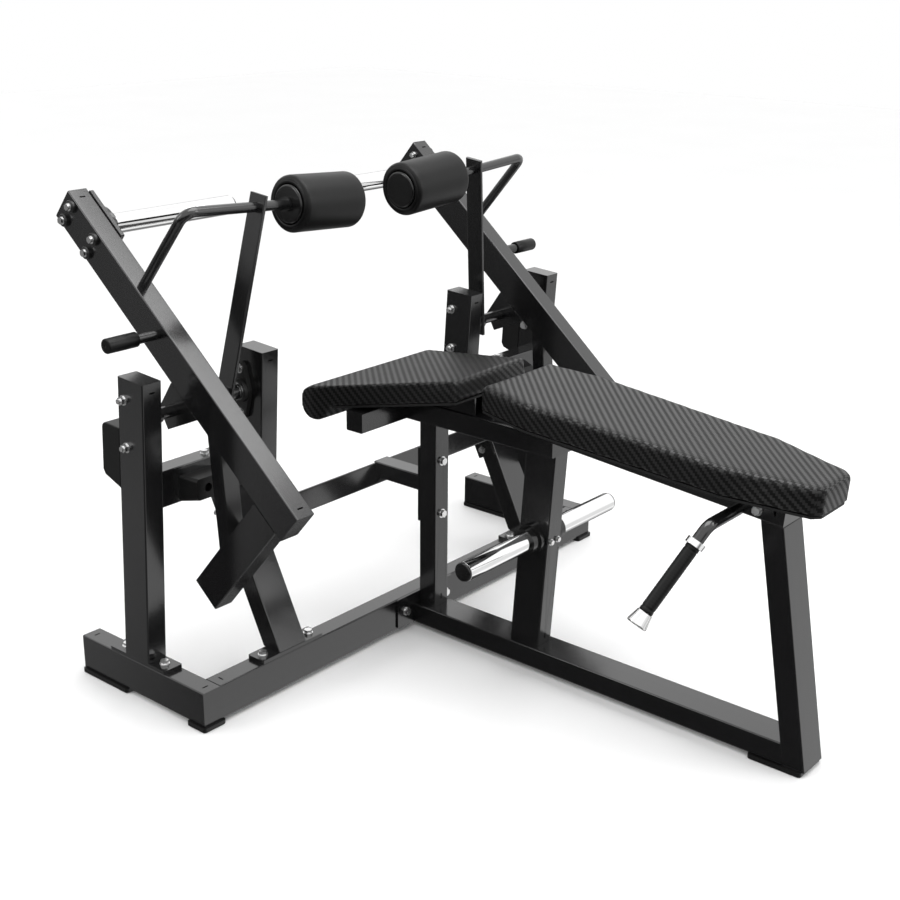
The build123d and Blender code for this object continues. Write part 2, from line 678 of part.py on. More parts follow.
def thigh_pad_plane(depth):
    """Plane parallel to the thigh pad's top face, `depth` below it, facing down."""
    x, z = THIGH_PAD_REAR
    origin = Vector(x, 0, z) - THIGH_PAD_UP * depth
    return Plane(origin=origin, x_dir=THIGH_PAD_AXIS, z_dir=THIGH_PAD_UP * -1)


def thigh_pad():
    """Tapered thigh cushion with a thicker roll at the knee edge."""
    x, z = THIGH_PAD_REAR
    wide, slim = THIGH_PAD_HALF
    cushion = PAD_THICK - PAD_BOARD - PAD_GAP
    side = Plane(origin=(x, 0, z), x_dir=THIGH_PAD_AXIS, z_dir=(0, -1, 0))
    slab = Pos(THIGH_PAD_RUN / 2, -cushion / 2) * Rectangle(THIGH_PAD_RUN, cushion)
    roll = Pos(0, -KNEE_ROLL_R) * Circle(KNEE_ROLL_R)
    part = extrude(side * (slab + roll), amount=wide, both=True)
    outline = Polygon(
        (-THIGH_ROLL_REACH, -wide), (0, -wide), (THIGH_PAD_RUN, -slim), (THIGH_PAD_RUN, slim), (0, wide),
        (-THIGH_ROLL_REACH, wide), align=None)
    above = THIGH_PAD_UP * (3 * KNEE_ROLL_R)
    part = part & extrude(thigh_pad_plane(0) * outline, dir=above, amount=3 * KNEE_ROLL_R, both=True)
    return fillet(part.faces().sort_by(Axis.X)[-1].edges(), 10.0)


def thigh_pad_board():
    wide, slim = THIGH_PAD_HALF
    start, end = KNEE_ROLL_R + BOARD_INSET, THIGH_PAD_RUN - 2 * BOARD_INSET
    low = wide + (slim - wide) * start / THIGH_PAD_RUN - BOARD_INSET
    high = slim - BOARD_INSET
    outline = Polygon((start, -low), (end, -high), (end, high), (start, low), align=None)
    plane = thigh_pad_plane(PAD_THICK - PAD_BOARD)
    return extrude(plane * outline, dir=plane.z_dir, amount=PAD_BOARD)


LONG_PAD_OUTLINE = ((0, 136), (147, 161), (662, 135), (852, 80), (872, 60))


def long_pad_plane(depth):
    """Plane parallel to the long pad's top face, `depth` below it, facing up."""
    x, z = LONG_PAD_REAR
    up = Vector(-LONG_PAD_SLOPE, 0, 1).normalized()
    return Plane(origin=Vector(x, 0, z) - up * depth, x_dir=(1, 0, LONG_PAD_SLOPE), z_dir=up)


def long_pad_slab(depth, thick, inset):
    """Slab with the long pad's outline, its top `depth` below the pad's top."""
    end = LONG_PAD_OUTLINE[-1][0] - inset
    upper = [(min(max(s, inset), end), y - inset) for s, y in LONG_PAD_OUTLINE]
    lower = [(s, -y) for s, y in reversed(upper)]
    plane = long_pad_plane(depth)
    return extrude(plane * Polygon(*(lower + upper), align=None), dir=plane.z_dir * -1, amount=thick)


def long_pad():
    """Long cushion: wide at the hips, tapering to a clipped head end."""
    part = long_pad_slab(0, LONG_PAD_THICK - PAD_BOARD - PAD_GAP, 0)
    return fillet(part.faces().sort_by(Axis.Z)[-1].edges(), 12.0)


def long_pad_board():
    return long_pad_slab(LONG_PAD_THICK - PAD_BOARD, PAD_BOARD, BOARD_INSET)


# ---------------------------------------------------------------- handles
HANDLE_BEND_Y = -174.0
HANDLE_DROP = Vector(-0.358, -0.75, -1.0).normalized()
HANDLE_BEND_R = 34.0
HANDLE_ABOVE = 7.0         # the tube's centre line is this far above the sloping beam's underside
GRIP_START = 40.0
GRIP_LENGTH = 176.0
GRIP_R = 16.5
GRIP_FIT = 0.1             # radial clearance of the sleeves on their tubes
SOCKET_GAP = 0.5
COLLAR_LENGTH = 14.0
FLARE_LENGTH = 34.0
FLARE_SOCKET = 8.0         # the tube's end sits this deep in the flared cap


def handle_bend():
    """Corner of the left handle tube."""
    return Vector(HANDLE_X, HANDLE_BEND_Y, pad_beam_z(HANDLE_X) + HANDLE_ABOVE)


def handle_bar():
    """Tube that leaves the side of the sloping beam and bends down to the grip."""
    bend = handle_bend()
    tip = bend + HANDLE_DROP * (GRIP_START + COLLAR_LENGTH + GRIP_LENGTH + FLARE_SOCKET)
    root = Vector(bend.X, -TUBE_WIDE / 2, bend.Z)
    path = FilletPolyline(tip, bend, root, radius=HANDLE_BEND_R)
    face = Plane(origin=tip, z_dir=HANDLE_DROP * -1) * Circle(HANDLE_R)
    return sweep(face, path=path)


def handle_grip():
    start = handle_bend() + HANDLE_DROP * (GRIP_START + COLLAR_LENGTH)
    return ring(start, start + HANDLE_DROP * GRIP_LENGTH, GRIP_R, HANDLE_R + GRIP_FIT)


def handle_collar():
    start = handle_bend() + HANDLE_DROP * GRIP_START
    return ring(start, start + HANDLE_DROP * COLLAR_LENGTH, GRIP_R + 5.5, HANDLE_R + GRIP_FIT)


def handle_flare():
    """Flared end cap of a handle."""
    start = handle_bend() + HANDLE_DROP * (GRIP_START + COLLAR_LENGTH + GRIP_LENGTH)
    near = Plane(origin=start, z_dir=HANDLE_DROP) * Circle(GRIP_R + 1.5)
    far = Plane(origin=start + HANDLE_DROP * FLARE_LENGTH, z_dir=HANDLE_DROP) * Circle(GRIP_R + 8.5)
    part = loft([near.face(), far.face()])
    part = fillet(part.edges().sort_by(Axis.Z)[0], 4.0)
    socket_end = start + HANDLE_DROP * (FLARE_SOCKET + SOCKET_GAP)
    return part - rod(start - HANDLE_DROP, socket_end, HANDLE_R + GRIP_FIT)


# ---------------------------------------------------------------- rubber feet
def foot_pad(x, y, long, wide):
    part = block((x - long / 2, x + long / 2), (y - wide / 2, y + wide / 2), (-FOOT_LIFT, 0))
    part = fillet(part.edges().filter_by(Axis.Z), 8.0)
    return chamfer(part.faces().sort_by(Axis.Z)[0].edges(), 2.0)


# ---------------------------------------------------------------- levers
HUB_OUTLINE = ((0, 68), (-49, -2), (-21, -53), (86.6, -6.2))
COUNTER_S = 936.0
COUNTER_DROP = 343.0
STRUT = (50.0, 40.0)
STRUT_X = -64.0            # strut's centre at z 400
STRUT_LEAN = -0.082
HORN_PLATE = 10.0
HORN_PLATE_SIZE = (150.0, 98.0)
HORN_BOLTS = (53.0, 24.0)
PUCK = 9.0
PUCK_R = 16.0
PEG_S, PEG_T = 430.0, 15.0
PEG_R = 13.0
PEG_GRIP_R = 18.0
PEG_GRIP_END = 4.0         # closed end of the grip beyond the peg's tip
PEG_TIP = 801.0
PEG_GRIP_ROOT = 718.0


def arm_skin():
    return bar(on_arm(0, 0), on_arm(ARM_LENGTH, 0), arm_up(), TUBE_WIDE, TUBE_THIN)


def arm():
    part = tube(on_arm(0, 0), on_arm(ARM_LENGTH, 0), arm_up(), TUBE_WIDE, TUBE_THIN)
    for s in (VENT_INSET, ARM_LENGTH - VENT_INSET):
        part = vent(part, on_arm(s, TUBE_WIDE / 2), arm_up(), (0, 1, 0))
    for seat in horn_bolt_seats():
        part = drill(part, seat, (0, -1, 0), TUBE_THIN + 5.0, SMALL_BOLT_R)
    return part


def horn_bolt_seats():
    """Where the four flange bolts sit on the arm's outer face."""
    seats = []
    for ds in (-HORN_BOLTS[0], HORN_BOLTS[0]):
        for dt in (-HORN_BOLTS[1], HORN_BOLTS[1]):
            seats.append(on_arm(HORN_S + ds, dt, -LEVER_Y - TUBE_THIN / 2))
    return seats


def counter_skin():
    return bar(on_arm(COUNTER_S, -TUBE_WIDE / 2), on_arm(COUNTER_S, -TUBE_WIDE / 2 - COUNTER_DROP),
               arm_along(), TUBE_WIDE, TUBE_THIN)


def counter_tube():
    """Counterweight tube, square to the arm near its low end."""
    low = -TUBE_WIDE / 2 - COUNTER_DROP
    part = tube(on_arm(COUNTER_S, -TUBE_WIDE / 2), on_arm(COUNTER_S, low),
                arm_along(), TUBE_WIDE, TUBE_THIN, ends=(False, True))
    centre = on_arm(COUNTER_S - TUBE_WIDE / 2, low + VENT_INSET)
    return vent(part, centre, arm_along() * -1, (0, 1, 0))


def strut():
    """Stop strut between the arm and the counterweight tube."""
    def point(z):
        return Vector(STRUT_X + STRUT_LEAN * (z - 400.0), -LEVER_Y, z)

    part = tube(point(380.0), point(690.0), (0, 1, 0), STRUT[0], STRUT[1], ends=(False, False))
    part = part - arm_skin() - counter_skin()
    return part.solids().sort_by(SortBy.VOLUME)[-1]


def hub_block():
    """Block under the arm that carries the axle."""
    plane = Plane(origin=(PIVOT_X, -LEVER_Y, PIVOT_Z), x_dir=(1, 0, 0), z_dir=(0, -1, 0))
    part = extrude(plane * Polygon(*HUB_OUTLINE, align=None), amount=TUBE_THIN / 2, both=True)
    cut = bar(on_arm(300, 0), on_arm(900, 0), arm_up(), TUBE_WIDE, TUBE_THIN + 40.0, 0.5)
    part = part - cut
    return part - extrude(plane * Circle(AXLE_R + PRESS_FIT), amount=60.0, both=True)


BEARING_GAP = 1.0
LINK_FOOT_Y = 492.0
LINK_BOSS = (LINK_FOOT_Y - 15.0, LINK_FOOT_Y + 15.0)


def axle():
    outer = TIE_OUTER - 4.0
    inner = TIE_INNER + 4.0
    part = rod((PIVOT_X, -outer, PIVOT_Z), (PIVOT_X, -inner, PIVOT_Z), AXLE_R)
    stops = ((outer + 4.0 - HOUSING_DEPTH - BEARING_GAP, -12.0),
             (inner - 4.0 + HOUSING_DEPTH + BEARING_GAP, 12.0))
    for edge, reach in stops:
        part = part + rod((PIVOT_X, -edge, PIVOT_Z), (PIVOT_X, -edge - reach, PIVOT_Z), 20.0)
    return part


HORN_COLLAR = 34.0
HORN_STEP = 10.0           # height of the collar's wide step above the plate
HORN_STEP_R = 47.0
HORN_NECK_R = 34.0
SPIGOT_R = 22.0
PRESS_FIT = 0.02


def horn_flange():
    """Plate and stepped collar that hold the loading horn to the arm's inner face."""
    face = -LEVER_Y + TUBE_THIN / 2
    start = on_arm(HORN_S, 0, face)
    part = bar(start, start + Vector(0, HORN_PLATE, 0), arm_along(), *HORN_PLATE_SIZE)
    part = part + rod(start, start + Vector(0, HORN_PLATE + HORN_STEP, 0), HORN_STEP_R)
    part = part + rod(start, start + Vector(0, HORN_COLLAR, 0), HORN_NECK_R)
    part = part - rod(start + Vector(0, HORN_PLATE, 0), start + Vector(0, 80, 0), SPIGOT_R + PRESS_FIT)
    for seat in horn_bolt_seats():
        inner = Vector(seat.X, face + HORN_PLATE, seat.Z)
        part = drill(part, inner, (0, 1, 0), 15.0, SMALL_BOLT_R)
    return part


HORN_CAP_R = 21.5
HORN_CAP = 5.0


def horn_cap():
    """Black lid on the horn's tip."""
    tip = on_arm(HORN_S, 0, -HORN_TIP_Y)
    lid = rod(tip, tip + Vector(0, HORN_CAP, 0), HORN_CAP_R)
    return fillet(lid.edges().sort_by(Axis.Y)[-1], 3.0)


def loading_horn():
    """Plate horn with a spigot at its root that sits in the collar."""
    face = -LEVER_Y + TUBE_THIN / 2
    root, shoulder = on_arm(HORN_S, 0, face + HORN_PLATE), on_arm(HORN_S, 0, face + HORN_COLLAR)
    tip = on_arm(HORN_S, 0, -HORN_TIP_Y)
    horn = chamfer(rod(shoulder, tip, HORN_R).edges().sort_by(Axis.Y)[-1], 3.0)
    return horn + rod(root, shoulder, SPIGOT_R)


def roller_axis(y):
    """Point on the roller's axis at distance y from the middle plane."""
    top = on_arm(ROD_S, TUBE_WIDE / 2 + ROD_RISE)
    return Vector(top.X, -y, top.Z - ROD_FALL * (LEVER_Y - y))


ROD_STOP = 8.0
CAP_R = 48.0
CAP_PROUD = 4.0
CAP_DEPTH = 10.0
ROD_TIP_Y = ROLLER_IN + 6.0


def roller_rod():
    """Rod bent from the arm's upper face across to the roller."""
    foot = on_arm(ROD_S, TUBE_WIDE / 2)
    bend, tip = roller_axis(LEVER_Y), roller_axis(ROD_TIP_Y)
    path = FilletPolyline(foot, bend, tip, radius=30.0)
    part = sweep(Plane(origin=foot, z_dir=arm_up()) * Circle(ROD_R), path=path)
    edge = ROLLER_OUT + CAP_PROUD + 1.0
    return part + rod(roller_axis(edge + ROD_STOP), roller_axis(edge), ROD_R + 6.0)


LINK_WIDE = 54.0
LINK_THICK = 10.0
LINK_TOP_Y = 408.0
LINK_BELOW = 38.0
LINK_ABOVE = 31.0


def roller_link():
    """Flat bar from the axle up to the bent rod, with a boss on the axle."""
    top = roller_axis(LINK_TOP_Y)
    foot = Vector(PIVOT_X, -LINK_FOOT_Y, PIVOT_Z)
    along = (top - foot).normalized()
    across = Vector(along.Z, 0, -along.X).normalized()
    part = bar(foot - along * LINK_BELOW, top + along * LINK_ABOVE, across, LINK_WIDE, LINK_THICK, 3.0)
    boss = rod((PIVOT_X, -LINK_BOSS[0], PIVOT_Z), (PIVOT_X, -LINK_BOSS[1], PIVOT_Z), 24.0)
    part = part + boss
    part = part - rod((PIVOT_X, -LINK_BOSS[0] + 30, PIVOT_Z), (PIVOT_X, -LINK_BOSS[1] - 30, PIVOT_Z),
                      AXLE_R + PRESS_FIT)
    return part - rod(roller_axis(LINK_TOP_Y + 40), roller_axis(LINK_TOP_Y - 40), ROD_R + PRESS_FIT)


def roller_core():
    """Plastic core of the roller: a blind sleeve with a domed cap at each end."""
    outer, inner = ROLLER_OUT + CAP_PROUD, ROLLER_IN - CAP_PROUD
    part = rod(roller_axis(outer), roller_axis(inner), 17.0)
    for y, step in ((outer, -CAP_DEPTH), (inner, CAP_DEPTH)):
        cap = rod(roller_axis(y), roller_axis(y + step), CAP_R)
        rim = cap.edges().sort_by(Axis.Y)
        part = part + fillet(rim[0] if step < 0 else rim[-1], 6.0)
    return part - rod(roller_axis(outer + 9), roller_axis(ROD_TIP_Y - 2.0), ROD_R + FIT)


def roller_foam():
    part = ring(roller_axis(ROLLER_OUT), roller_axis(ROLLER_IN), ROLLER_R, 18.0)
    rims = part.edges().filter_by(GeomType.CIRCLE).sort_by(SortBy.LENGTH)[-2:]
    part = fillet(rims, 12.0)
    for y, step in ((ROLLER_OUT, CAP_PROUD - CAP_DEPTH - 1.0), (ROLLER_IN, CAP_DEPTH - CAP_PROUD + 1.0)):
        part = part - rod(roller_axis(y - step), roller_axis(y + step), CAP_R + 2.0)
    return part


def peg():
    """Peg on the arm's outer face that the lever is lifted by."""
    return rod(on_arm(PEG_S, PEG_T, -LEVER_Y - TUBE_THIN / 2), on_arm(PEG_S, PEG_T, -PEG_TIP), PEG_R)


def peg_grip():
    start, end = on_arm(PEG_S, PEG_T, -PEG_GRIP_ROOT), on_arm(PEG_S, PEG_T, -PEG_TIP - PEG_GRIP_END)
    part = fillet(rod(start, end, PEG_GRIP_R).edges().sort_by(Axis.Y)[0], 3.0)
    return part - rod(start, on_arm(PEG_S, PEG_T, -PEG_TIP), PEG_R + GRIP_FIT)


def lever_bolt(seat):
    """Flange bolt with the thick round cap washer that stands on the arm's outer face."""
    washer = fillet(rod(seat, seat - Vector(0, PUCK, 0), PUCK_R).edges().sort_by(Axis.Y)[0], 3.0)
    head_seat = seat - Vector(0, PUCK, 0)
    return washer + bolt(head_seat, (0, -1, 0), PUCK + TUBE_THIN + HORN_PLATE, SMALL_BOLT_R)


# ---------------------------------------------------------------- put together
both_sides("foot_beam", foot_beam())
keep("cross_beam", cross_beam())
both_sides("outer_upright", upright(-OUTER_Y, PLATE_TOP))
both_sides("inner_upright", upright(-INNER_Y, TIE_LOW))
both_sides("tie_beam", tie_beam())
both_sides("raking_leg", raking_leg())
keep("mid_beam", mid_beam())
keep("link_tube", link_tube())
keep("rear_post", rear_post())
keep("horn_post", horn_post())
keep("front_post", front_post())
keep("base_beam", base_beam())
keep("thigh_beam", thigh_beam())
keep("thigh_tube", thigh_tube())
keep("pad_beam", pad_beam())

for plate in (upright_base_plate(), leg_base_plate(), leg_top_plate(), mid_beam_plate()):
    pair("mount_plates", plate)
keep("mount_plates", rear_post_plate(), base_beam_plate(), joint_plate())
for y in BRACKET_Y:
    keep("mount_plates", thigh_bracket(y))

keep("thigh_pad", thigh_pad(), thigh_pad_board())
keep("long_pad", long_pad(), long_pad_board())
keep("storage_bar", storage_bar())
pair("storage_collars", storage_collar())
pair("storage_collars", storage_cap())
pair("handle_bar", handle_bar())
pair("handle_grips", handle_grip())
pair("handle_trim", handle_collar())
pair("handle_trim", handle_flare())

FOOT_WIDE = TUBE_THIN + 14.0
pair("foot_pads", foot_pad(-FOOT_BEAM_LENGTH + 88.0, -OUTER_Y, 180.0, FOOT_WIDE))
pair("foot_pads", foot_pad(-26.0, -OUTER_Y, 66.0, FOOT_WIDE))
keep("foot_pads", foot_pad(FRONT_POST_TOE_X - 74.0, 0, 136.0, TUBE_WIDE + 14.0))

BEARING_FACES = ((-TIE_OUTER, 1), (-TIE_INNER, -1))
for face_y, out in BEARING_FACES:
    pair("bearings", bearing(face_y, out))
    for part in bearing_bolts(face_y, out):
        pair("frame_bolts", part)

pair("stop_bumpers", stop_bumper())
pair("stop_bumpers", guard_block())

for x in UPRIGHT_BOLT_X:
    pair("frame_bolts", bolt((x, -OUTER_Y, PLATE_TOP), (0, 0, 1), PLATE + WALL + 5.0, BOLT_R, nut=False))
for y in LEG_BOLT_Y:
    pair("frame_bolts", bolt((CROSS_X, -y, PLATE_TOP), (0, 0, 1), PLATE + WALL + 5.0, BOLT_R, nut=False))
for y in TIE_BOLT_Y:
    pair("frame_bolts", bolt((TIE_X, -y, TIE_TOP), (0, 0, 1), TUBE_WIDE + PLATE, SMALL_BOLT_R))
for step in (-MID_BOLT_STEP, MID_BOLT_STEP):
    seat = mid_point(step, MID_BOLT_BACK, -MID_BEAM_OUT + MID_PLATE)
    pair("frame_bolts", bolt(seat, (0, 1, 0), TUBE_WIDE + MID_PLATE, SMALL_BOLT_R))
beam_seat = (BASE_PLATE, -BEAM_BOLT_Y, BEAM_BOLT_Z)
pair("frame_bolts", bolt(beam_seat, (1, 0, 0), TUBE_THIN + BASE_PLATE, BOLT_R))
for z in POST_BOLT_Z:
    seat = (REAR_POST_X + TUBE_THIN / 2, 0, z)
    keep("frame_bolts", bolt(seat, (1, 0, 0), TUBE_THIN + POST_PLATE, BOLT_R))
for y in SCREW_Y:
    keep("frame_bolts", bolt(screw_seat(y), LEAN_OUT, SCREW_LENGTH, SCREW_R, nut=False))
keep("frame_bolts", bolt(side_seat(), (0, -1, 0), TUBE_WIDE, BOLT_R))

both_sides("arm", arm())
both_sides("counter_tube", counter_tube())
both_sides("strut", strut())
both_sides("hub_block", hub_block())
both_sides("axle", axle())
both_sides("horn_flange", horn_flange())
both_sides("horn_flange", horn_cap())
both_sides("loading_horn", loading_horn())
both_sides("roller_rod", roller_rod())
both_sides("roller_link", roller_link())
both_sides("roller_core", roller_core())
both_sides("roller_foam", roller_foam())
both_sides("peg", peg())
both_sides("peg_grip", peg_grip())
for seat in horn_bolt_seats():
    keep("lever_bolts_left", lever_bolt(seat))
    keep("lever_bolts_right", mirror(lever_bolt(seat), Plane.XZ))


# ---------------------------------------------------------------- write the nodes
def solids_of(shapes):
    found = []
    for shape in shapes:
        found.extend(shape.solids())
    return found


every = Compound(children=[copy_of for name in NODES for copy_of in solids_of(NODES[name])])
size = every.bounding_box()
CENTRE_X = size.center().X
for name, shapes in NODES.items():
    placed = [Pos(-CENTRE_X, 0, FOOT_LIFT) * s for s in solids_of(shapes)]
    group = placed[0] if len(placed) == 1 else Compound(children=placed)
    group.label = name
    export_step(group, f"parts/{name}.step")
print("nodes", len(NODES), "centre x", round(CENTRE_X, 4), "size", size.size)
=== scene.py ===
import json
import math

import bmesh
import bpy
from mathutils import Matrix, Vector, noise

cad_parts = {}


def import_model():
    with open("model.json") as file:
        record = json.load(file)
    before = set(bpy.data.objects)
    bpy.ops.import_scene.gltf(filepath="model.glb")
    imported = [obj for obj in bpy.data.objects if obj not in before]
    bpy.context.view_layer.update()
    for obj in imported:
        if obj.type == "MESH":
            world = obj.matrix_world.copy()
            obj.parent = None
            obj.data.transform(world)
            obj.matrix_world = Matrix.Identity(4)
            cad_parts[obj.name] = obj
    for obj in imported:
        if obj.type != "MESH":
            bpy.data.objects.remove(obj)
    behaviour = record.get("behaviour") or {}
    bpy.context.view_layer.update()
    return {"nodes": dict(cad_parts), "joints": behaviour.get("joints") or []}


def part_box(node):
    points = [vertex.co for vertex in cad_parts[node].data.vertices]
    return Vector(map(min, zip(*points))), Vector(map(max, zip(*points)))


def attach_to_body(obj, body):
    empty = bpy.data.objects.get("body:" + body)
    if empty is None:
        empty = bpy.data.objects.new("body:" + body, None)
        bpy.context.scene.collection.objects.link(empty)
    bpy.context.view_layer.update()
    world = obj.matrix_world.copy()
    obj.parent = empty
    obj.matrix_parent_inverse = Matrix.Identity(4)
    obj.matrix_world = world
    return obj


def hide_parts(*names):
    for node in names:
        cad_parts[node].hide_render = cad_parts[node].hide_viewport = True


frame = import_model()
NODES = frame["nodes"]
SCENE = bpy.context.scene

MM = 0.001
SIDES = ("left", "right")
WELD_GAP = 0.02 * MM        # imported vertices closer than this are one


def joint_named(name):
    return next(joint for joint in frame["joints"] if joint["name"] == name)


# ---------------------------------------------------------------- node graphs
class Graph:
    """A small wrapper that keeps the node code of a material or of the world short."""

    def __init__(self, owner):
        owner.use_nodes = True
        self.owner = owner
        self.tree = owner.node_tree
        self.tree.nodes.clear()

    def add(self, kind, inputs=(), **settings):
        """A new node. Each input is a plain value or another node's output."""
        node = self.tree.nodes.new(kind)
        for key, value in settings.items():
            setattr(node, key, value)
        for key, value in dict(inputs).items():
            if isinstance(value, bpy.types.NodeSocket):
                self.tree.links.new(value, node.inputs[key])
            else:
                node.inputs[key].default_value = value
        return node

    def position(self):
        """The shaded point in the piece's own coordinates."""
        return self.add("ShaderNodeTexCoord").outputs["Object"]

    def axes(self, vector):
        """The x, y and z of a vector."""
        return self.add("ShaderNodeSeparateXYZ", {"Vector": vector}).outputs

    def math(self, operation, a, b=0.0):
        return self.add("ShaderNodeMath", {0: a, 1: b}, operation=operation).outputs[0]

    def total(self, *terms):
        """The sum of value times weight, over (value, weight) pairs."""
        value, weight = terms[0]
        result = self.math("MULTIPLY", value, weight)
        for value, weight in terms[1:]:
            result = self.math("ADD", result, self.math("MULTIPLY", value, weight))
        return result

    def noise(self, scale, detail=3.0, roughness=0.5, vector=None):
        """Soft noise from 0 to 1, over the piece's own coordinates unless a vector is given."""
        inputs = {"Scale": scale, "Detail": detail, "Roughness": roughness}
        inputs["Vector"] = vector or self.position()
        return self.add("ShaderNodeTexNoise", inputs).outputs["Fac"]

    def span(self, value, low, high, from_low=0.0, from_high=1.0):
        """Maps from_low..from_high onto low..high, and holds the value at both ends."""
        inputs = {"Value": value, 1: from_low, 2: from_high, 3: low, 4: high}
        return self.add("ShaderNodeMapRange", inputs).outputs[0]

    def blend(self, factor, a, b):
        """Number a where factor is 0 and number b where it is 1."""
        return self.add("ShaderNodeMix", {"Factor": factor, 2: a, 3: b}).outputs[0]

    def mix(self, factor, a, b):
        """Colour a where factor is 0 and colour b where it is 1."""
        return self.add("ShaderNodeMix", {"Factor": factor, 6: a, 7: b}, data_type="RGBA").outputs[2]

    def bump(self, height, depth, strength):
        """The normal of a height map that is `depth` metres deep."""
        inputs = {"Height": height, "Distance": depth, "Strength": strength}
        return self.add("ShaderNodeBump", inputs).outputs[0]

    def surface(self, **inputs):
        """Ends a material in a principled shader. A keyword is an input's name with _ for each space."""
        named = {key.replace("_", " "): value for key, value in inputs.items()}
        shader = self.add("ShaderNodeBsdfPrincipled", named)
        self.add("ShaderNodeOutputMaterial", {"Surface": shader.outputs[0]})
        return self.owner


def material_graph(name):
    return Graph(bpy.data.materials.new(name))


def grey(value, blue=0.0):
    """A grey whose blue is raised by the given share."""
    return (value, value, value * (1.0 + blue), 1.0)


# ---------------------------------------------------------------- materials
def powder_coat():
    """Satin black powder coat: fine orange peel, and a slow drift of colour and gloss."""
    g = material_graph("powder_coat")
    peel = g.noise(scale=1500.0, detail=2.0)
    drift = g.noise(scale=9.0, detail=4.0, roughness=0.6)
    return g.surface(
        Base_Color=g.mix(drift, grey(0.004, blue=0.04), grey(0.007, blue=0.05)),
        Roughness=g.span(g.noise(scale=60.0), low=0.15, high=0.21),
        Normal=g.bump(peel, depth=0.06 * MM, strength=0.5),
        Specular_IOR_Level=0.75,
        Coat_Weight=0.15,
        Coat_Roughness=0.08,
    )


def polished(name, tone, rough, scratch):
    """Plated steel with faint wipe marks and fine scratches."""
    g = material_graph(name)
    stretch = g.add("ShaderNodeMapping", {"Vector": g.position(), "Scale": (900.0, 60.0, 900.0)}).outputs[0]
    scratches = g.noise(scale=1.0, detail=3.0, roughness=0.6, vector=stretch)
    wipe = g.noise(scale=14.0, detail=4.0)
    return g.surface(
        Base_Color=g.mix(wipe, grey(tone * 0.93), grey(tone)),
        Metallic=1.0,
        Roughness=g.span(wipe, *rough, from_low=0.3, from_high=0.7),
        Normal=g.bump(scratches, depth=scratch, strength=0.4),
    )


def moulded(name, tone, rough, grain, depth, shine):
    """Moulded plastic, foam or rubber with a fine pebbled skin."""
    g = material_graph(name)
    pebble = g.noise(scale=grain, detail=3.0, roughness=0.6)
    cloud = g.noise(scale=22.0, detail=4.0)
    return g.surface(
        Base_Color=g.mix(cloud, grey(tone * 0.6), grey(tone)),
        Roughness=g.span(cloud, *rough),
        Normal=g.bump(pebble, depth, strength=0.6),
        Specular_IOR_Level=shine,
    )


TOW = 5.5 * MM              # width of one tow of the twill
TWILL_REPEAT = 4.0          # tows in one repeat: the warp lies on top of two and under two
THREADS = 14.0              # half waves of thread across one tow
LEVEL_NORMAL = 0.62         # a face counts as level when its normal's z part is over this


def flat_map(g):
    """Two coordinates that lie in the face: x, y on a level face, y, z on an end and x, z on a side."""
    xyz = g.axes(g.position())
    facing = g.axes(g.add("ShaderNodeNewGeometry").outputs["True Normal"])
    x_part, y_part, z_part = (g.math("ABSOLUTE", facing[i]) for i in range(3))
    level = g.math("GREATER_THAN", z_part, LEVEL_NORMAL)
    end = g.math("MULTIPLY", g.math("GREATER_THAN", x_part, y_part), g.math("SUBTRACT", 1.0, level))
    return g.blend(end, xyz[0], xyz[1]), g.blend(level, xyz[2], xyz[1])


def twill_vinyl():
    """Upholstery vinyl embossed as a 2 by 2 twill; the warp's lighter colour is painted sheen, and the
    weft's darker colour and the grooves between tows are painted shade.
    """
    g = material_graph("twill_vinyl")
    u, v = flat_map(g)
    column, row = g.math("DIVIDE", u, TOW), g.math("DIVIDE", v, TOW)
    cell = g.math("ADD", g.math("FLOOR", column), g.math("FLOOR", row))
    warp = g.math("LESS_THAN", g.math("FLOORED_MODULO", cell, TWILL_REPEAT), TWILL_REPEAT / 2)
    across = g.math("FRACT", g.blend(warp, row, column))
    crown = g.math("SINE", g.math("MULTIPLY", across, math.pi))
    thread = g.math("SINE", g.math("MULTIPLY", across, math.pi * THREADS))
    grain = g.noise(scale=2600.0, detail=2.0)
    height = g.total((g.math("POWER", crown, 0.35), 0.55), (warp, 0.25), (thread, 0.04), (grain, 0.12))

    wear = g.noise(scale=7.0, detail=4.0, roughness=0.6)
    # warp and weft are the same vinyl: the warp's lighter colour is painted sheen, the weft's darker colour
    # is painted shade
    warp_painted_sheen = g.mix(wear, grey(0.010), grey(0.016))
    weft_painted_shade = g.mix(wear, grey(0.0015), grey(0.003))
    # painted shade: darker towards each tow's edge, in the grooves between tows
    groove_painted_shade = g.span(crown, low=0.55, high=0.0, from_low=0.0, from_high=0.5)
    rough = g.blend(warp, 0.46, 0.30)
    return g.surface(
        Base_Color=g.mix(groove_painted_shade, g.mix(warp, weft_painted_shade, warp_painted_sheen), grey(0.003)),
        Roughness=g.math("ADD", rough, g.span(wear, low=-0.04, high=0.04)),
        Normal=g.bump(height, depth=0.35 * MM, strength=0.6),
        Specular_IOR_Level=g.blend(warp, 0.18, 0.38),
    )


def part_plated(g, plated, coat, plate, speck_scale, depth, strength):
    """Ends a material that is plated metal where `plated` is 1 and dark coating where it is 0.

    coat and plate are each (tone, lowest roughness, highest roughness).
    """
    speck = g.noise(scale=speck_scale)
    coat_tone, *coat_rough = coat
    plate_tone, *plate_rough = plate
    return g.surface(
        Base_Color=g.mix(plated, grey(coat_tone), grey(plate_tone)),
        Metallic=plated,
        Roughness=g.blend(plated, g.span(speck, *coat_rough), g.span(speck, *plate_rough)),
        Normal=g.bump(speck, depth, strength),
    )


RACE_RADIUS = 21.5 * MM     # the bright inner race shows inside this radius of the axle's axis


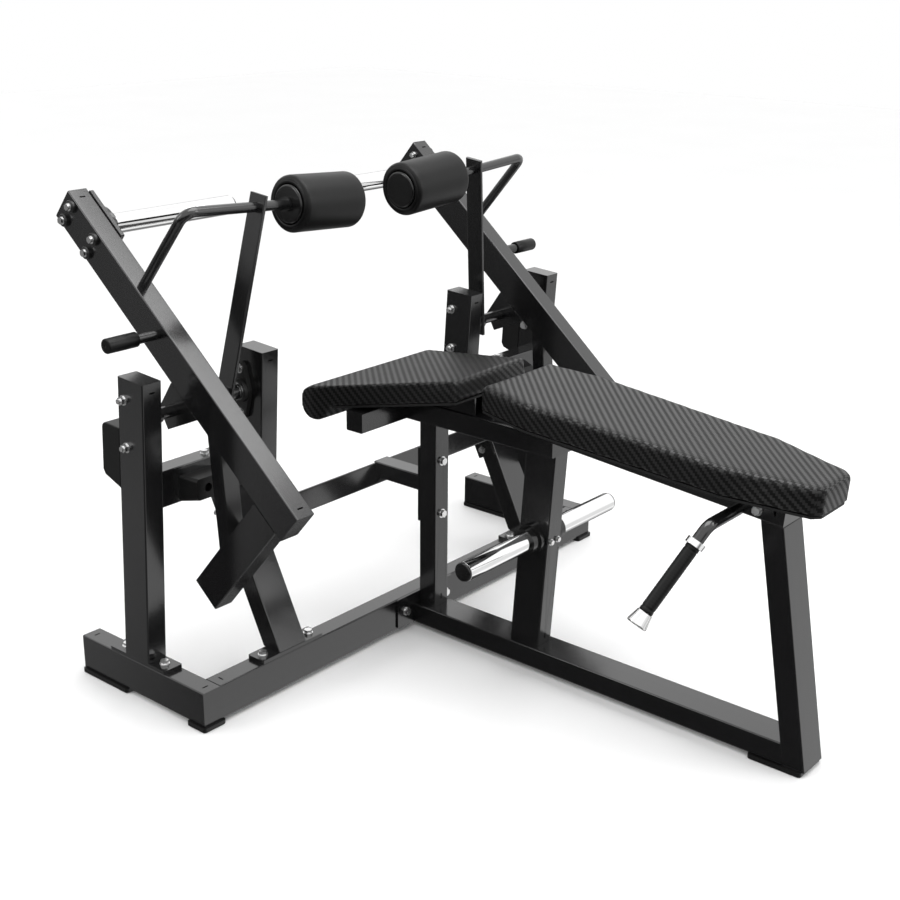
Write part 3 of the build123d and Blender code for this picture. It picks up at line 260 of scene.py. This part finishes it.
def bearing_iron():
    """A painted cast housing with a bright race round the levers' common axis."""
    g = material_graph("bearing_iron")
    x, _, z = joint_named("left_lever_hinge")["pos_m"]
    xyz = g.axes(g.position())
    squares = [g.math("POWER", g.math("SUBTRACT", xyz[i], middle), 2.0) for i, middle in ((0, x), (2, z))]
    race = g.math("LESS_THAN", g.math("SQRT", g.math("ADD", *squares)), RACE_RADIUS)
    return part_plated(g, race, coat=(0.008, 0.32, 0.5), plate=(0.62, 0.12, 0.2),
                       speck_scale=500.0, depth=0.12 * MM, strength=0.5)


PUCK_THICK = 9.2 * MM       # black cap washer under each of a lever's bolt heads
PUCK_UNDER = 0.5 * MM       # the black starts this far inside the arm's face


def puck_and_bolt():
    """Black cap washers on the arm's outer face, and plated bolts beyond them and behind."""
    g = material_graph("puck_and_bolt")
    arm_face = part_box("arm_right")[1].y
    out = g.math("ABSOLUTE", g.axes(g.position())[1])
    puck = g.math("MULTIPLY", g.math("GREATER_THAN", out, arm_face - PUCK_UNDER),
                  g.math("LESS_THAN", out, arm_face + PUCK_THICK))
    return part_plated(g, g.math("SUBTRACT", 1.0, puck), coat=(0.006, 0.28, 0.4), plate=(0.75, 0.16, 0.28),
                       speck_scale=700.0, depth=0.08 * MM, strength=0.4)


COAT = powder_coat()
CHROME = polished("chrome", tone=0.82, rough=(0.04, 0.10), scratch=0.01 * MM)
ZINC = polished("zinc_plate", tone=0.80, rough=(0.22, 0.34), scratch=0.03 * MM)
VINYL = twill_vinyl()
FOAM = moulded("foam_skin", tone=0.005, rough=(0.34, 0.44), grain=700.0, depth=0.22 * MM, shine=0.22)
RUBBER = moulded("stop_rubber", tone=0.006, rough=(0.30, 0.42), grain=900.0, depth=0.12 * MM, shine=0.3)
GRIP = moulded("grip_rubber", tone=0.004, rough=(0.30, 0.40), grain=1800.0, depth=0.10 * MM, shine=0.22)
PLASTIC = moulded("black_plastic", tone=0.007, rough=(0.12, 0.22), grain=1200.0, depth=0.05 * MM, shine=0.5)
BOARD = moulded("pad_board", tone=0.010, rough=(0.45, 0.60), grain=500.0, depth=0.15 * MM, shine=0.3)
BEARING = bearing_iron()
PUCKS = puck_and_bolt()


# ---------------------------------------------------------------- CAD nodes
SMOOTH_ANGLE = math.radians(35)     # edges sharper than this stay creased
BEVEL_ANGLE = math.radians(50)      # edges sharper than this are rounded
FINE_EDGE = 0.35 * MM               # rounding on bolts, bearings and other small parts
TUBE_EDGE = 0.8 * MM                # rounding on tubes, plates and the other larger parts
BOARD_EDGE = 1.0 * MM


def smooth_group():
    """Geometry nodes that shade smooth except over sharp edges."""
    group = bpy.data.node_groups.new("smooth_by_angle", "GeometryNodeTree")
    group.interface.new_socket("Geometry", in_out="INPUT", socket_type="NodeSocketGeometry")
    group.interface.new_socket("Geometry", in_out="OUTPUT", socket_type="NodeSocketGeometry")
    new, link = group.nodes.new, group.links.new
    start, end = new("NodeGroupInput"), new("NodeGroupOutput")
    faces, edges = new("GeometryNodeSetShadeSmooth"), new("GeometryNodeSetShadeSmooth")
    edges.domain = "EDGE"
    edges.inputs["Shade Smooth"].default_value = False
    angle, sharp = new("GeometryNodeInputMeshEdgeAngle"), new("FunctionNodeCompare")
    sharp.inputs[1].default_value = SMOOTH_ANGLE
    link(start.outputs[0], faces.inputs[0])
    link(faces.outputs[0], edges.inputs[0])
    link(angle.outputs[0], sharp.inputs[0])
    link(sharp.outputs[0], edges.inputs["Selection"])
    link(edges.outputs[0], end.inputs[0])
    return group


SMOOTH = smooth_group()


def soften(piece, width):
    """Joins the imported faces, rounds the sharp edges and shades the curves smooth."""
    weld = piece.modifiers.new("weld", "WELD")
    weld.merge_threshold = WELD_GAP
    bevel = piece.modifiers.new("bevel", "BEVEL")
    bevel.width = width
    bevel.segments = 2
    bevel.limit_method = "ANGLE"
    bevel.angle_limit = BEVEL_ANGLE
    piece.modifiers.new("smooth", "NODES").node_group = SMOOTH
    flat = piece.modifiers.new("flat", "WEIGHTED_NORMAL")
    flat.keep_sharp = True
    flat.weight = 100           # the large faces decide, so tube walls shade flat


def dress(piece, material):
    """Makes a material the piece's only one."""
    piece.data.materials.clear()
    piece.data.materials.append(material)


FINISHES = {
    "storage_bar": CHROME, "loading_horn": CHROME, "peg": PLASTIC, "handle_trim": CHROME,
    "frame_bolts": ZINC, "lever_bolts": PUCKS, "bearings": BEARING, "storage_collars": PLASTIC,
    "roller_core": PLASTIC, "stop_bumpers": RUBBER, "foot_pads": RUBBER,
}
FINE_NODES = ("frame_bolts", "lever_bolts", "bearings", "handle_trim", "roller_core")
REBUILT = ("thigh_pad", "long_pad", "roller_foam", "handle_grips", "peg_grip")


def base_name(node):
    """A node's name without its side."""
    for side in SIDES:
        node = node.removesuffix("_" + side)
    return node


def finish_nodes():
    """Gives each CAD node its material and edges, except those that pieces below replace."""
    for name, node in NODES.items():
        base = base_name(name)
        if base not in REBUILT:
            dress(node, FINISHES.get(base, COAT))
            soften(node, FINE_EDGE if base in FINE_NODES else TUBE_EDGE)


finish_nodes()


# ---------------------------------------------------------------- mesh helpers
def to_object(name, bm):
    """A scene object made of a bmesh, which is freed."""
    mesh = bpy.data.meshes.new(name)
    bm.to_mesh(mesh)
    bm.free()
    piece = bpy.data.objects.new(name, mesh)
    SCENE.collection.objects.link(piece)
    return piece


def attach(piece, material, body):
    """Gives a piece its look and the body that it rides on."""
    dress(piece, material)
    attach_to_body(piece, body)


def shade_smooth(piece):
    """Smooth shading over the whole piece."""
    for face in piece.data.polygons:
        face.use_smooth = True


WOBBLE_SCALE = 25.0         # bumps per metre of a turned shape's unevenness


def lathe(name, origin, axis, profile, steps, wobble=0.0):
    """Closed turned shape. profile is a ring of (distance along the axis, radius) pairs."""
    axis = axis.normalized()
    side = axis.orthogonal().normalized()
    other = axis.cross(side)
    bm = bmesh.new()
    rings = []
    for step in range(steps):
        turn = 2 * math.pi * step / steps
        out = side * math.cos(turn) + other * math.sin(turn)
        ring = []
        for along, radius in profile:
            point = origin + axis * along + out * radius
            ring.append(bm.verts.new(point + out * (wobble * noise.noise(point * WOBBLE_SCALE))))
        rings.append(ring)
    for ring, next_ring in zip(rings, rings[1:] + rings[:1]):
        for k, vert in enumerate(ring):
            onward = (k + 1) % len(ring)
            bm.faces.new((vert, ring[onward], next_ring[onward], next_ring[k]))
    bmesh.ops.recalc_face_normals(bm, faces=bm.faces)
    piece = to_object(name, bm)
    shade_smooth(piece)
    return piece


def arc(centre, radius, start, end, steps):
    """Points of a round, in degrees, in the (along, radius) plane of a lathe profile."""
    points = []
    for k in range(steps + 1):
        angle = math.radians(start + (end - start) * k / steps)
        points.append((centre[0] + radius * math.cos(angle), centre[1] + radius * math.sin(angle)))
    return points


def mirrored(points, length):
    """A lathe profile's points as seen from the other end of a shape of the given length."""
    return [(length - along, radius) for along, radius in reversed(points)]


def islands(bm):
    """The vertices of each connected solid, always in the same order."""
    seen, found = set(), []
    for first in bm.verts:
        if first in seen:
            continue
        seen.add(first)
        group = [first]
        for vert in group:      # the list grows while it is walked
            for edge in vert.link_edges:
                other = edge.other_vert(vert)
                if other not in seen:
                    seen.add(other)
                    group.append(other)
        found.append(group)
    return found


def parts_of(node):
    """The separate solids of a CAD node as bmesh objects, largest first."""
    bm = bmesh.new()
    bm.from_mesh(NODES[node].data)
    bmesh.ops.remove_doubles(bm, verts=bm.verts, dist=WELD_GAP)
    found = []
    for group in islands(bm):
        part = bmesh.new()
        fresh = {vert: part.verts.new(vert.co) for vert in group}
        for face in bm.faces:
            if face.verts[0] in fresh:
                part.faces.new([fresh[vert] for vert in face.verts])
        found.append(part)
    bm.free()
    return sorted(found, key=lambda part: -part.calc_volume())


def apply_all(piece):
    """Replaces the mesh by the result of its modifiers."""
    bpy.context.view_layer.update()
    done = bpy.data.meshes.new_from_object(piece.evaluated_get(bpy.context.evaluated_depsgraph_get()))
    piece.modifiers.clear()
    piece.data = done


# ---------------------------------------------------------------- cushions
VOXEL = 5.0 * MM            # mesh size of the covers
INSET = 0.8 * MM            # the cover starts this far inside the CAD pad
PUFF = 1.2 * MM             # and no point of it moves out further than this
PRESSURE = 4.0
STRETCH_STIFFNESS = 60.0
BENDING_STIFFNESS = 20.0
CLOTH_FRAMES = 20


def inflate(piece):
    """Blows the cover up like a stuffed cushion, and caps how far any point moves."""
    start = [vert.co.copy() for vert in piece.data.vertices]
    cloth = piece.modifiers.new("cloth", "CLOTH")
    cloth.settings.use_pressure = True
    cloth.settings.uniform_pressure_force = PRESSURE
    cloth.settings.effector_weights.gravity = 0.0
    cloth.settings.tension_stiffness = STRETCH_STIFFNESS
    cloth.settings.compression_stiffness = STRETCH_STIFFNESS
    cloth.settings.bending_stiffness = BENDING_STIFFNESS
    cloth.point_cache.frame_start = 1
    cloth.point_cache.frame_end = CLOTH_FRAMES
    for step in range(1, CLOTH_FRAMES + 1):
        SCENE.frame_set(step)
    apply_all(piece)
    for vert, rest in zip(piece.data.vertices, start):
        move = vert.co - rest
        if move.length > PUFF:
            vert.co = rest + move.normalized() * PUFF
    SCENE.frame_set(1)


def relax(piece):
    """Evens out the mesh a little, as a modifier that is still to be applied."""
    smooth = piece.modifiers.new("relax", "SMOOTH")
    smooth.iterations = 2


def cushion(name, node):
    """A stuffed cover in place of a pad's largest solid, and its boards as they are."""
    cover, *boards = parts_of(node)
    piece = to_object(name, cover)
    remesh = piece.modifiers.new("remesh", "REMESH")
    remesh.mode = "VOXEL"
    remesh.voxel_size = VOXEL
    apply_all(piece)
    for vert, normal in zip(piece.data.vertices, [vert.normal.copy() for vert in piece.data.vertices]):
        vert.co -= normal * INSET
    relax(piece)
    apply_all(piece)
    inflate(piece)
    relax(piece)
    fine = piece.modifiers.new("fine", "SUBSURF")
    fine.levels = fine.render_levels = 1
    apply_all(piece)
    shade_smooth(piece)
    attach(piece, VINYL, "frame")
    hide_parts(node)
    for number, solid in enumerate(boards):
        board = to_object(f"{name}_board_{number}", solid)
        soften(board, BOARD_EDGE)
        attach(board, BOARD, "frame")


cushion("thigh_cushion", "thigh_pad")
cushion("long_cushion", "long_pad")


# ---------------------------------------------------------------- rollers and grips
FOAM_BORE = 18 * MM         # radius of the hole in the foam
FOAM_SEAT = 50 * MM         # radius of the recess that holds the core's flange
FOAM_SEAT_DEPTH = 7 * MM    # depth of that recess
FOAM_LIP = 2 * MM           # chamfer round the recess
FOAM_BULGE = 0.4 * MM       # how far the end face swells out
FOAM_ROUND = 11 * MM        # radius of the outer edge
FOAM_WOBBLE = 0.5 * MM      # unevenness of the foam's skin
SKIN_RINGS = (0.66, 0.33)   # shares of the half length with a ring of vertices for the wobble to move


def roller(side):
    """A foam roller on its tilted axis, with a recess in each end and well-rounded edges."""
    node = "roller_foam_" + side
    joint = joint_named(side + "_roller_spin")
    centre, axis = Vector(joint["pos_m"]), Vector(joint["axis"]).normalized()
    low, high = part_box(node)
    radius = (high.x - low.x) / 2
    half = (high.y - low.y - 2 * radius * abs(axis.z)) / 2 / abs(axis.y)
    points = [(half - FOAM_SEAT_DEPTH, FOAM_BORE), (half - FOAM_SEAT_DEPTH, FOAM_SEAT)]
    points += [(half - FOAM_LIP, FOAM_SEAT), (half, FOAM_SEAT + FOAM_LIP)]
    points += [(half + FOAM_BULGE, (FOAM_SEAT + radius) / 2)]
    points += arc((half - FOAM_ROUND, radius - FOAM_ROUND), FOAM_ROUND, 0, 90, 6)
    points += [(half * share, radius) for share in SKIN_RINGS]
    profile = points + mirrored(points, 0.0)
    foam = lathe("foam_cover_" + side, centre, axis, profile, steps=96, wobble=FOAM_WOBBLE)
    attach(foam, FOAM, side + "_roller")
    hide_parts(node)


SLEEVE_BORE = 13.5 * MM     # radius of the hole that the peg goes into
SLEEVE_LIP = 2 * MM         # chamfer at the sleeve's open end
SLEEVE_SWELL = 0.2 * MM     # how much thicker the sleeve is at its middle
SLEEVE_ROUND = 3.5 * MM     # radius of the edge at the closed end
SLEEVE_WALL = 5.5 * MM      # thickness of the closed end
DISH_RADIUS, DISH_DEPTH = 3 * MM, 0.8 * MM      # shallow dish in the closed end
VENT_RADIUS = 0.6 * MM      # pin hole in the middle of the dish


def peg_grip(side):
    """A plain rubber sleeve with a closed, rounded end, on the peg of one lever."""
    node = "peg_grip_" + side
    low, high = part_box(node)
    outward, inner = (1, low.y) if side == "right" else (-1, high.y)
    start = Vector(((low.x + high.x) / 2, inner, (low.z + high.z) / 2))
    length, radius = high.y - low.y, (high.x - low.x) / 2
    profile = [(0.0, SLEEVE_BORE), (0.0, radius - SLEEVE_LIP), (SLEEVE_LIP, radius)]
    profile += [(length * 0.5, radius + SLEEVE_SWELL)]
    profile += arc((length - SLEEVE_ROUND, radius - SLEEVE_ROUND), SLEEVE_ROUND, 90, 0, 5)
    profile += [(length, DISH_RADIUS), (length - DISH_DEPTH, VENT_RADIUS)]
    profile += [(length - SLEEVE_WALL, VENT_RADIUS), (length - SLEEVE_WALL, SLEEVE_BORE)]
    grip = lathe("peg_sleeve_" + side, start, Vector((0, outward, 0)), profile, steps=48)
    attach(grip, GRIP, side + "_lever")
    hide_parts(node)


for side in SIDES:
    roller(side)
    peg_grip(side)


GRIP_RINGS = 22
GRIP_END = 12 * MM          # plain length at each end of a hand grip
RING_TOP = 0.3 * MM         # depth of the rings' crests below the bead
RING_FOOT = 0.7 * MM        # depth of the valleys between them
PLAIN_DEPTH = 1.2 * MM      # depth of the plain stretch behind the bead
EDGE_REACH, EDGE_DROP = 1.5 * MM, 2 * MM        # chamfer at each end of a hand grip
BEAD_END, BEAD_FOOT = 8 * MM, 9.5 * MM          # where the bead's top ends, and where its slope does


def grip_profile(length, radius, bore):
    """Rubber grip: chamfered ends, a bead at each, and shallow rings along the middle."""
    shoulder = [(0.0, bore), (0.0, radius - EDGE_DROP), (EDGE_REACH, radius)]
    shoulder += [(BEAD_END, radius), (BEAD_FOOT, radius - PLAIN_DEPTH)]
    pitch = (length - 2 * GRIP_END) / GRIP_RINGS
    rings = []
    for k in range(GRIP_RINGS):
        foot = GRIP_END + k * pitch
        rings += [(foot, radius - RING_FOOT), (foot + 0.3 * pitch, radius - RING_TOP)]
        rings += [(foot + 0.7 * pitch, radius - RING_TOP)]
    rings += [(length - GRIP_END, radius - PLAIN_DEPTH)]
    return shoulder + rings + mirrored(shoulder, length)


def middle_of_end(points, tip):
    """The middle of the half of the points that is nearest to a tip."""
    near = sorted(points, key=lambda point: (point - tip).length)[:len(points) // 2]
    return sum(near, Vector()) / len(near)


def reach_right(solid):
    return max(vert.co.y for vert in solid.verts)


def handle_grips():
    """Both hand grips, the right one first, each measured from its CAD solid, from its top end down."""
    for number, solid in enumerate(sorted(parts_of("handle_grips"), key=reach_right, reverse=True)):
        points = [vert.co.copy() for vert in solid.verts]
        solid.free()
        top = middle_of_end(points, max(points, key=lambda point: point.z))
        bottom = middle_of_end(points, min(points, key=lambda point: point.z))
        axis, centre = (bottom - top).normalized(), (top + bottom) / 2
        reach = [(point - centre).dot(axis) for point in points]
        radii = [(point - centre - axis * along).length for point, along in zip(points, reach)]
        profile = grip_profile(max(reach) - min(reach), max(radii), min(radii))
        grip = lathe(f"hand_grip_{number}", centre + axis * min(reach), axis, profile, steps=64)
        attach(grip, GRIP, "frame")
        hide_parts("handle_grips")


handle_grips()


# ---------------------------------------------------------------- stage, light, camera
FLOOR_HALF = 14.0
WHITE = (1.0, 1.0, 1.0, 1.0)
BACK_WALL = (0.575, 0.75, -0.33)    # direction of the bright wall that the head end of the bench faces
EVEN_LIGHT = 1.12                   # surround as it lights the object and the floor
SEEN_LIGHT = 1.0                    # surround as the camera sees it
MIRROR_LIMIT = 1.3                  # brightest that the surround is in a reflection
LOOK_AT = (0.0, 0.0, 0.6)
LIGHTS = (                          # name, spot, width, height, power
    ("overhead", (0.3, 0.2, 3.6), 2.6, 2.6, 70.0),
    ("front_fill", (3.4, 1.6, 2.6), 1.4, 2.24, 30.0),
    ("side_strip", (-2.2, -3.6, 2.8), 1.0, 2.4, 26.0),
)
CAMERA_PLACE = Vector((2.0574, -2.6846, 1.7618))
CAMERA_AZIMUTH, CAMERA_ELEVATION, CAMERA_ROLL = -50.128, 19.521, 0.523
CAMERA_LENS = 56.58


def stage():
    """A plain pale floor that mirrored rays pass through."""
    bm = bmesh.new()
    bmesh.ops.create_grid(bm, x_segments=8, y_segments=8, size=FLOOR_HALF)
    floor = to_object("floor", bm)
    g = material_graph("floor_paint")
    dress(floor, g.surface(
        Base_Color=g.mix(g.noise(scale=1.2), grey(0.86), grey(0.89)),
        Roughness=g.span(g.noise(scale=5.0), low=0.45, high=0.6),
        Specular_IOR_Level=0.3,
    ))
    floor.visible_glossy = False


def area_light(name, spot, width, height, power):
    """A rectangular lamp at spot that faces the object."""
    data = bpy.data.lights.new(name, "AREA")
    data.shape = "RECTANGLE"
    data.size, data.size_y = width, height
    data.energy = power
    light = bpy.data.objects.new(name, data)
    SCENE.collection.objects.link(light)
    light.location = spot
    light.rotation_mode = "QUATERNION"
    light.rotation_quaternion = (Vector(LOOK_AT) - Vector(spot)).to_track_quat("-Z", "Y")


def world():
    """White studio light. Reflections show a bright sky, soft patches, one wall and a dark ground."""
    g = Graph(bpy.data.worlds.new("studio"))
    SCENE.world = g.owner
    look = g.add("ShaderNodeTexCoord").outputs["Generated"]
    aligned = g.add("ShaderNodeVectorMath", {0: look, 1: BACK_WALL}, operation="DOT_PRODUCT")
    cloud = g.noise(scale=1.7, detail=1.0, vector=look)
    sky = g.span(g.axes(look)[2], low=0.0, high=1.2, from_low=-0.10, from_high=0.40)
    patches = g.span(cloud, low=0.02, high=0.55, from_low=0.44, from_high=0.58)
    wall = g.span(aligned.outputs["Value"], low=0.0, high=0.9, from_low=0.55, from_high=0.95)
    shine = g.math("MINIMUM", g.math("ADD", g.math("ADD", sky, patches), wall), MIRROR_LIMIT)
    even, seen, mirror = (
        g.add("ShaderNodeBackground", {"Color": WHITE, "Strength": strength}).outputs[0]
        for strength in (EVEN_LIGHT, SEEN_LIGHT, shine)
    )
    ray = g.add("ShaderNodeLightPath").outputs
    lit = g.add("ShaderNodeMixShader", {0: ray["Is Glossy Ray"], 1: even, 2: mirror}).outputs[0]
    shown = g.add("ShaderNodeMixShader", {0: ray["Is Camera Ray"], 1: lit, 2: seen}).outputs[0]
    g.add("ShaderNodeOutputWorld", {"Surface": shown})


def camera():
    """The camera, from its place, the direction it looks from and its roll."""
    a, e, r = (math.radians(angle) for angle in (CAMERA_AZIMUTH, CAMERA_ELEVATION, CAMERA_ROLL))
    forward = Vector((-math.cos(e) * math.cos(a), -math.cos(e) * math.sin(a), -math.sin(e)))
    right = forward.cross(Vector((0, 0, 1))).normalized()
    up = right.cross(forward)
    x_axis = right * math.cos(r) + up * math.sin(r)
    y_axis = up * math.cos(r) - right * math.sin(r)
    data = bpy.data.cameras.new("camera")
    data.lens = CAMERA_LENS
    data.clip_end = 100.0
    cam = bpy.data.objects.new("camera", data)
    SCENE.collection.objects.link(cam)
    rotation = Matrix((x_axis, y_axis, -forward)).transposed().to_4x4()
    cam.matrix_world = Matrix.Translation(CAMERA_PLACE) @ rotation
    SCENE.camera = cam


stage()
world()
for light in LIGHTS:
    area_light(*light)
camera()
SCENE.view_settings.view_transform = "Standard"
